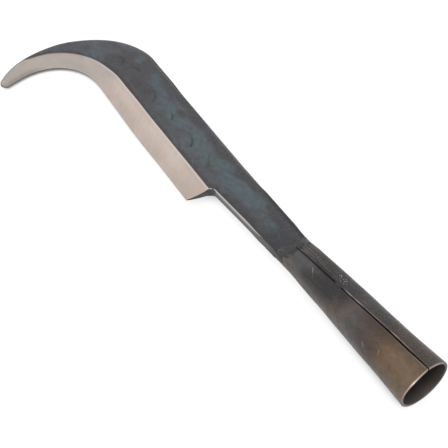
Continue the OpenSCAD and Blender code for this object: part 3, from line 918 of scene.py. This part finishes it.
def bladeMaterial():
    look = bladeLook
    material, tree, shader, place, scale = newSteel("forgedBladeSteel", 55.0, (0.8, 1.1, 1.0))
    cloud, blotch, grain = scale["Cloud"], scale["Blotch"], scale["Grain"]
    surface = node(tree, "UVMap", uv_map="surface").outputs["UV"]
    onSurface = node(tree, "SeparateXYZ", {0: surface}).outputs
    along, toEdge = onSurface["X"], onSurface["Y"]
    apart = node(tree, "SeparateXYZ", {0: place}).outputs
    x, up = apart["X"], apart["Z"]
    spine, past = mark(tree, "fromSpine"), mark(tree, "pastShoulder")

    # forge scale: blue-grey ground, darker towards the throat, the neck's sides and the hook, with tempering
    # colours over it
    bentX = shifted(tree, x, cloud, 14 * mm)
    sideways = calc(tree, "ABSOLUTE", apart["Y"])
    neckSide = times(tree, fade(tree, sideways, 3, 10), fade(tree, bentX, 222, 200))
    teal = ramp(tree, shifted(tree, mark(tree, "teal"), cloud, 0.6), 0.1, 0.7)
    purple = ramp(tree, shifted(tree, mark(tree, "purple"), cloud, 0.6), 0.3, 0.8)
    slow = useGroup(tree, forgeScale, {"Vector": place, "Patch": 26.0})
    color = blendColor(tree, cloud, look["base"], look["grey"])
    color = painted(tree, color, look, [
        (neckSide, 0.55, "char"),
        (band(tree, bentX, 300, 326, 374, 386), 0.72, "hookFace"),
        (fade(tree, bentX, 164, 143), 0.85, "throat"),
        (teal, 0.85, blendColor(tree, slow["Cloud"], look["teal"], look["blue"])),
        (purple, 0.75, "purple"),
    ])

    # a charcoal band on the spine's side, mottling, hammer lines and a dark line above the slope
    reach = calc(tree, "MULTIPLY_ADD", cloud, 5 * mm, spine)
    charBand = times(tree, fade(tree, reach, 13.5, 8.5), fade(tree, x, 345, 315))
    color = painted(tree, color, look, [
        (charBand, 0.75, "char"),
        (blotch, 0.32, "char"),
        (times(tree, charBand, grain), 0.35, "grey"),
        (times(tree, charBand, ramp(tree, grain, 0.4, 0.1)), 0.3, "line"),
        (grain, 0.12, "pale"),
        (mark(tree, "hammer"), 0.8, "line"),
        (fade(tree, calc(tree, "MULTIPLY_ADD", blotch, 2.2 * mm, past), -3.6, 0.2), 0.6, "rim"),
    ])

    # the neck's light side, the spine with a pale line on parts of it, partly wear and partly painted
    # highlight, the hook's dark back with a thin pale line beside it and a bright spot, partly wear and
    # partly painted highlight, scratches
    sideTop = calc(tree, "MAXIMUM", fade(tree, up, 3.6, 2.2), fade(tree, x, 146, 154))
    sideLight = times(tree, band(tree, x, 134, 146, 203, 210.5), times(tree, sideTop, fade(tree, up, -4, 0)))
    spineWornAndHighlit = calc(tree, "MAXIMUM", band(tree, x, 186, 212, 250, 275), fade(tree, x, 372, 392))
    onBack = band(tree, x, 296, 322, 372, 390)
    backLine = times(tree, band(tree, spine, 1.4, 2.1, 2.5, 3.4), onBack)
    color = painted(tree, color, look, [
        (times(tree, mark(tree, "neckSide"), sideLight), 1, "neckSide"),
        # a pale line along the spine: partly wear, partly painted highlight on its round
        (times(tree, fade(tree, spine, 3.4, 1.2), spineWornAndHighlit), 0.6, "pale"),
        (times(tree, fade(tree, spine, 4.5, 2), fade(tree, x, 190, 176)), 0.6, "line"),
        (times(tree, fade(tree, spine, 1.8, 1), onBack), 0.75, "line"),
        (times(tree, backLine, blendValue(tree, blotch, 0.15, 0.6)), 1, "pale"),
        # a bright spot on the hook's back: partly wear, partly painted highlight
        (times(tree, band(tree, along, 250, 257, 266, 275), fade(tree, spine, 2.2, 0.8)), 0.6, "steelGrey"),
        (scratches(tree, place, look["nicks"]), 0.3, "pale"),
        (scratches(tree, place, look["worn"]), 0.14, "pale"),
    ])

    # ground bevel: slanting lines on the straight edge, lines along the curve on the hook
    slant = useGroup(tree, grindLines, {"Vector": surface, "Angle": 0.70, "Lines": 1600.0})
    curved = useGroup(tree, grindLines, {"Vector": surface, "Angle": 1.50, "Lines": 1300.0})
    onHook = fade(tree, along, 205, 250)
    fine = blendValue(tree, onHook, slant["Line"], curved["Line"])
    coarse = blendValue(tree, onHook, slant["Coarse"], curved["Coarse"])
    crest = times(tree, fade(tree, toEdge, 4, 12.5), blendValue(tree, fade(tree, past, 1, 5), 0.12, 0.34))
    # the edge's land: ground steel with painted shade, darker on the hook
    paintedLandShade = blendValue(tree, fade(tree, along, 200, 270), 0.6, 0.85)
    steel = blendColor(tree, fine, look["steelDark"], look["steel"])
    steel = painted(tree, steel, look, [
        (crest, 1, "steelLight"),
        (coarse, 0.2, "steelGrey"),
        (cloud, 0.2, "steelPale"),
        (fade(tree, along, 125, 85), 0.55, "steelHeel"),
        (times(tree, onHook, blendValue(tree, cloud, 0.8, 0.5)), 1, "steelGrey"),
        # a painted highlight along the hook's shoulder
        (times(tree, fade(tree, past, 2.6, 0.6), fade(tree, along, 272, 238)), 0.45, "steelPale"),
        (times(tree, fade(tree, along, 300, 325), fade(tree, toEdge, 6, 1)), 0.35, "land"),
        (mark(tree, "neckSide"), 1, "neckSteel"),
        (times(tree, mark(tree, "land"), paintedLandShade), 1, "land"),
    ])

    # the grinding wheel also caught the corner where the slope meets the neck
    caught = times(tree, scratches(tree, place, look["caught"]), fade(tree, up, 3.1, 3.6))
    ground = calc(tree, "MAXIMUM", mark(tree, "ground"), caught)
    forgedRough, groundRough = blendValue(tree, blotch, 0.36, 0.48), blendValue(tree, fine, 0.42, 0.32)
    rough = blendValue(tree, ground, forgedRough, groundRough)
    height = blendValue(tree, ground, calc(tree, "MULTIPLY_ADD", grain, 0.3, blotch), fine)
    dress(tree, shader, {"Base Color": blendColor(tree, ground, color, steel), "Roughness": rough,
                         "Metallic": blendValue(tree, ground, 0.2, 1.0), "Specular IOR Level": 0.3},
          height, 0.2, 0.2 * mm)
    return material


socketLook = {
    # heat tints, and where they lie along the socket in mm from the mouth
    "straw": (126, 105, 80), "tan": (119, 94, 70), "umber": (89, 72, 62), "taupe": (84, 74, 70),
    "smoke": (93, 89, 87), "clay": (103, 91, 83), "pitch": (55, 54, 56), "soot": (62, 60, 61),
    "ash": (92, 91, 92), "dun": (82, 70, 64), "slate": (66, 61, 61), "iron": (78, 75, 75),
    "coal": (50, 48, 49),
    "edgeSide": [(0, "straw"), (14, "straw"), (22, "tan"), (36, "umber"), (50, "taupe"), (61, "smoke"),
                 (70, "clay"), (79, "pitch"), (86, "pitch"), (101, "soot"), (113, "ash"), (129, "ash")],
    "spineSide": [(0, "dun"), (26, "dun"), (44, "slate"), (60, "iron"), (68, "iron"), (77, "soot"),
                  (90, "soot"), (101, "coal"), (109, "coal"), (118, "iron"), (129, "ash")],
    # the dark tint beside the seam on the left flap is painted shade
    "char": (52, 50, 50), "rust": (122, 104, 94), "streak": (122, 116, 112), "paintedSeamShade": (74, 58, 46),
    # the low side's two tints are a painted reflection of the floor
    "lowSide": (130, 121, 115), "floorReflectionMouth": (136, 121, 107), "edge": (186, 175, 170), "crease": (34, 32, 33),
    # the lighter inside near the mouth is painted light
    "inside": (70, 64, 59), "paintedMouthLight": (110, 102, 96), "scratch": (170, 165, 160), "dent": (48, 44, 40),
    # the rim's lighter tint and the glint are painted light
    "rim": (100, 94, 88), "rimPaintedLight": (176, 166, 156), "glint": (240, 226, 210),
    # scratches, in mm and degrees: x, y, angle, length, width
    "faint": [(100, 9.5, -39.6, 9.7, 0.5)],
    "cuts": [(103.6, 6.5, -39.6, 5.2, 0.6), (40, 15.5, -20, 4, 0.4), (29, 13.6, -50, 3.2, 0.4)],
    "dents": [(18, 14.4, -60, 3, 0.5), (28, 14.4, -75, 3, 0.5), (57, 15, -30, 3, 0.4)],
}


def socketMaterial():
    look = socketLook
    material, tree, shader, place, scale = newSteel("rolledSocketSteel", 60.0, (0.7, 1.0, 1.0))
    blotch, grain = scale["Blotch"], scale["Grain"]
    surface = node(tree, "UVMap", uv_map="surface").outputs["UV"]
    x = node(tree, "SeparateXYZ", {0: place}).outputs["X"]
    lines = useGroup(tree, grindLines, {"Vector": surface, "Angle": 1.57, "Lines": 1050.0})
    right, seam, lowSide = mark(tree, "rightFlap"), mark(tree, "fromSeam"), mark(tree, "lowSide")

    # heat tints of the forging, their borders bent by the clouds of the scale and aslant on the low side
    aslant = times(tree, lowSide, fade(tree, x, 64, 44))
    bentX = calc(tree, "MULTIPLY_ADD", aslant, 15 * mm, shifted(tree, x, scale["Cloud"], 10 * mm))
    edgeSide = tintRamp(tree, bentX, socketLen, look, look["edgeSide"])
    spineSide = tintRamp(tree, bentX, socketLen, look, look["spineSide"])
    color = blendColor(tree, times(tree, right, fade(tree, seam, 30, 22)), edgeSide, spineSide)
    # a painted reflection of the floor on the low side, weaker half way along and warmer near the mouth
    paintedFloorReflection = times(tree, lowSide, blendValue(tree, band(tree, x, 26, 38, 50, 60), 0.62, 0.25))
    left = calc(tree, "SUBTRACT", 1.0, right)
    # painted shade on the left flap near the seam
    nearSeam = times(tree, times(tree, fade(tree, seam, 11, 2), left), fade(tree, x, 85, 30))
    rust = ramp(tree, shifted(tree, mark(tree, "rust"), blotch, 0.5), 0.25, 1.0)
    color = painted(tree, color, look, [
        (paintedFloorReflection, 1, blendColor(tree, fade(tree, x, 44, 24), look["lowSide"], look["floorReflectionMouth"])),
        (nearSeam, 0.46, "paintedSeamShade"),
        (rust, 0.6, "rust"),
        (blotch, 0.24, "char"),
    ])

    # streaks along the sheet, filed lines on the right flap near the throat, specks and scratches
    filed = times(tree, right, blendValue(tree, fade(tree, x, 90, 118), 0.15, 1.0))
    speck = times(tree, ramp(tree, grain, 0.5, 0.95), blendValue(tree, right, 0.06, 0.44))
    fleck = times(tree, ramp(tree, grain, 0.45, 0.05), blendValue(tree, right, 0.14, 0.33))
    color = painted(tree, color, look, [
        (times(tree, lines["Coarse"], blendValue(tree, right, 0.06, 0.1)), 1, "streak"),
        (times(tree, lines["Line"], filed), 0.48, "streak"),
        (times(tree, ramp(tree, lines["Line"], 0.55, 0.3), filed), 0.55, "char"),
        (speck, 1, "char"),
        (fleck, 1, "streak"),
        (scratches(tree, place, look["faint"]), 0.14, "scratch"),
        (scratches(tree, place, look["cuts"]), 0.4, "scratch"),
        (scratches(tree, place, look["dents"]), 0.25, "dent"),
    ])

    # painted shade at the throat's end, a dark crease along the seam, the seam's bright edges, worn bare and
    # with painted highlight, then the inside with painted light near the mouth
    # painted shade where the socket's end meets the weld
    throatEndShade = fade(tree, calc(tree, "MULTIPLY_ADD", blotch, 4 * mm, x), 127.5, 130.5)
    color = painted(tree, color, look, [
        (throatEndShade, 0.55, "crease"),
        (times(tree, fade(tree, seam, 1.4, 0.3), fade(tree, x, 74, 88)), 0.55, "crease"),
        # the seam's edges: worn bare metal with painted highlight
        (times(tree, fade(tree, seam, 0.8, 0.3), mark(tree, "shine")), 1, "edge"),
        # the inside, lighter near the mouth where painted light falls in
        (ramp(tree, mark(tree, "inside"), 0.02, 0.12), 1,
         blendColor(tree, fade(tree, x, 9, 0), look["inside"], look["paintedMouthLight"])),
    ])
    # the rim: ground steel with painted light on its upper side and a painted glint
    rim = mark(tree, "rim")
    rimColor = painted(tree, look["rim"], look, [
        (mark(tree, "rimPaintedLight"), 1, "rimPaintedLight"), (mark(tree, "rimGlint"), 0.9, "glint")])
    height = calc(tree, "MULTIPLY_ADD", lines["Coarse"], 0.5, blotch)
    dress(tree, shader, {"Base Color": blendColor(tree, rim, color, rimColor),
                         "Roughness": blendValue(tree, blotch, 0.34, 0.46),
                         "Metallic": blendValue(tree, rim, 0.2, 0.8), "Specular IOR Level": 0.2},
          height, 0.15, 0.2 * mm)
    return material


weldLook = {"dark": (50, 50, 53), "mid": (94, 94, 95), "crease": (40, 40, 43), "brown": (86, 74, 66),
            "fleck": (118, 116, 116)}


def weldMaterial():
    look = weldLook
    material, tree, shader, _, scale = newSteel("throatWeldSteel", 90.0)
    grain = scale["Grain"]
    color = blendColor(tree, scale["Cloud"], look["dark"], look["mid"])
    color = painted(tree, color, look, [
        (scale["Blotch"], 0.12, "brown"),
        (ramp(tree, grain, 0.55, 0.95), 0.25, "fleck"),
        (ramp(tree, grain, 0.45, 0.05), 0.3, "crease"),
        (mark(tree, "toe"), 0.45, "crease"),
    ])
    dress(tree, shader, {"Base Color": color, "Metallic": 0.35,
                         "Roughness": blendValue(tree, grain, 0.38, 0.55)},
          scale["Blotch"], 0.3, 0.3 * mm)
    return material


tackLook = {"dark": (52, 50, 51), "mid": (84, 82, 82), "bright": (150, 147, 144)}


def tackMaterial():
    look = tackLook
    material, tree, shader, _, scale = newSteel("seamTackSteel", 160.0)
    color = blendColor(tree, scale["Cloud"], look["dark"], look["mid"])
    color = painted(tree, color, look, [(mark(tree, "bead"), 1, "bright")])
    dress(tree, shader, {"Base Color": color, "Metallic": 0.3, "Specular IOR Level": 0.2,
                         "Roughness": blendValue(tree, scale["Grain"], 0.32, 0.5)},
          scale["Blotch"], 0.3, 0.3 * mm)
    return material


# pieces take the place of their nodes

for piece, cadNode, slot, material in (
        (bladePiece(), "blade", "forged_blade", bladeMaterial()),
        (socketPiece(), "socket", "rolled_socket", socketMaterial()),
        (weldPiece(), "throat_weld", "weld", weldMaterial()),
        (tackPiece(), "seam_tack", "weld", tackMaterial())):
    piece.data.materials.append(material)
    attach(piece, "root")
    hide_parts(cadNode)
print("pieces ride on root")


# stage: the head lies on the lowest point of its rim and on the back of its hook

stageForm = {
    "fall": 0.0432, "lean": 0.0116, "half": 4.0, "drop": 1.0 * mm,      # slopes, half size and depth
    "pale": (0.5, 0.5, 0.5, 1.0), "glow": 0.74, "shadowReach": 13 * mm, "openSky": 0.5,
}


def seenRays(tree):
    # 1 for rays from the camera and for rays mirrored by or passed through a surface
    rays = node(tree, "LightPath").outputs
    return calc(tree, "MAXIMUM", rays["Is Camera Ray"],
                calc(tree, "MAXIMUM", rays["Is Glossy Ray"], rays["Is Transmission Ray"]))


def floorPiece():
    f = stageForm
    corners = np.array([(-1, -1), (1, -1), (1, 1), (-1, 1)]) * f["half"]
    level = socketLow.z - f["drop"] + corners @ [f["fall"], -f["lean"]]
    mesh = bpy.data.meshes.new("floor")
    mesh.from_pydata(np.column_stack([corners, level]).tolist(), [], [(0, 1, 2, 3)])
    floor = bpy.data.objects.new("floor", mesh)
    bpy.context.scene.collection.objects.link(floor)
    material = bpy.data.materials.new("paleFloor")
    tree, out = emptyTree(material, "Material")
    matt = node(tree, "BsdfDiffuse", {"Color": f["pale"]}).outputs[0]
    # the glow fades where the head lies close above, so the contact shadow stays dark
    openness = node(tree, "AmbientOcclusion", {"Distance": f["shadowReach"]}).outputs["AO"]
    strength = times(tree, times(tree, seenRays(tree), ramp(tree, openness, 0.0, f["openSky"])), f["glow"])
    glow = node(tree, "Emission", {"Color": (1, 1, 1, 1), "Strength": strength}).outputs[0]
    plug(tree, out, node(tree, "AddShader", {0: matt, 1: glow}).outputs[0])
    mesh.materials.append(material)


lightForm = {"world": 0.55, "key": 9.0, "keySize": 1.6,
             "keyPlace": (0.1, 0.7, 1.5), "target": (0.2, 0.02, 0.0)}


def aimed(holder, place, target):
    # a lamp or camera at a place, looking at a target
    holder.location = place
    holder.rotation_mode = "QUATERNION"
    holder.rotation_quaternion = (Vector(target) - Vector(place)).to_track_quat("-Z", "Y")
    bpy.context.scene.collection.objects.link(holder)


def studioLight():
    world = bpy.data.worlds.new("studio")
    bpy.context.scene.world = world
    tree, out = emptyTree(world, "World")
    strength = blendValue(tree, seenRays(tree), lightForm["world"], 1.0)
    plug(tree, out, node(tree, "Background", {"Color": (1, 1, 1, 1), "Strength": strength}).outputs[0])
    lamp = bpy.data.lights.new("softBox", "AREA")
    lamp.energy = lightForm["key"]
    lamp.shape = "DISK"
    lamp.size = lightForm["keySize"]
    aimed(bpy.data.objects.new("softBox", lamp), lightForm["keyPlace"], lightForm["target"])


cameraForm = {
    "place": (-0.20140, 0.30364, 0.52414), "target": (0.17802, 0.02645, 0.0), "roll": 1.844,
    "sensor": 36, "focalPixels": 1000, "imagePixels": 448, "nearest": 10 * mm,
}


def photoCamera():
    f = cameraForm
    data = bpy.data.cameras.new("photoCamera")
    data.sensor_width = f["sensor"]
    data.lens = f["sensor"] * f["focalPixels"] / f["imagePixels"]
    data.clip_start = f["nearest"]
    holder = bpy.data.objects.new("photoCamera", data)
    aimed(holder, f["place"], f["target"])
    holder.rotation_quaternion @= Quaternion((0, 0, 1), math.radians(f["roll"]))
    bpy.context.scene.camera = holder


floorPiece()
studioLight()
photoCamera()
bpy.context.scene.view_settings.view_transform = "Standard"
print("stage, light and camera set")
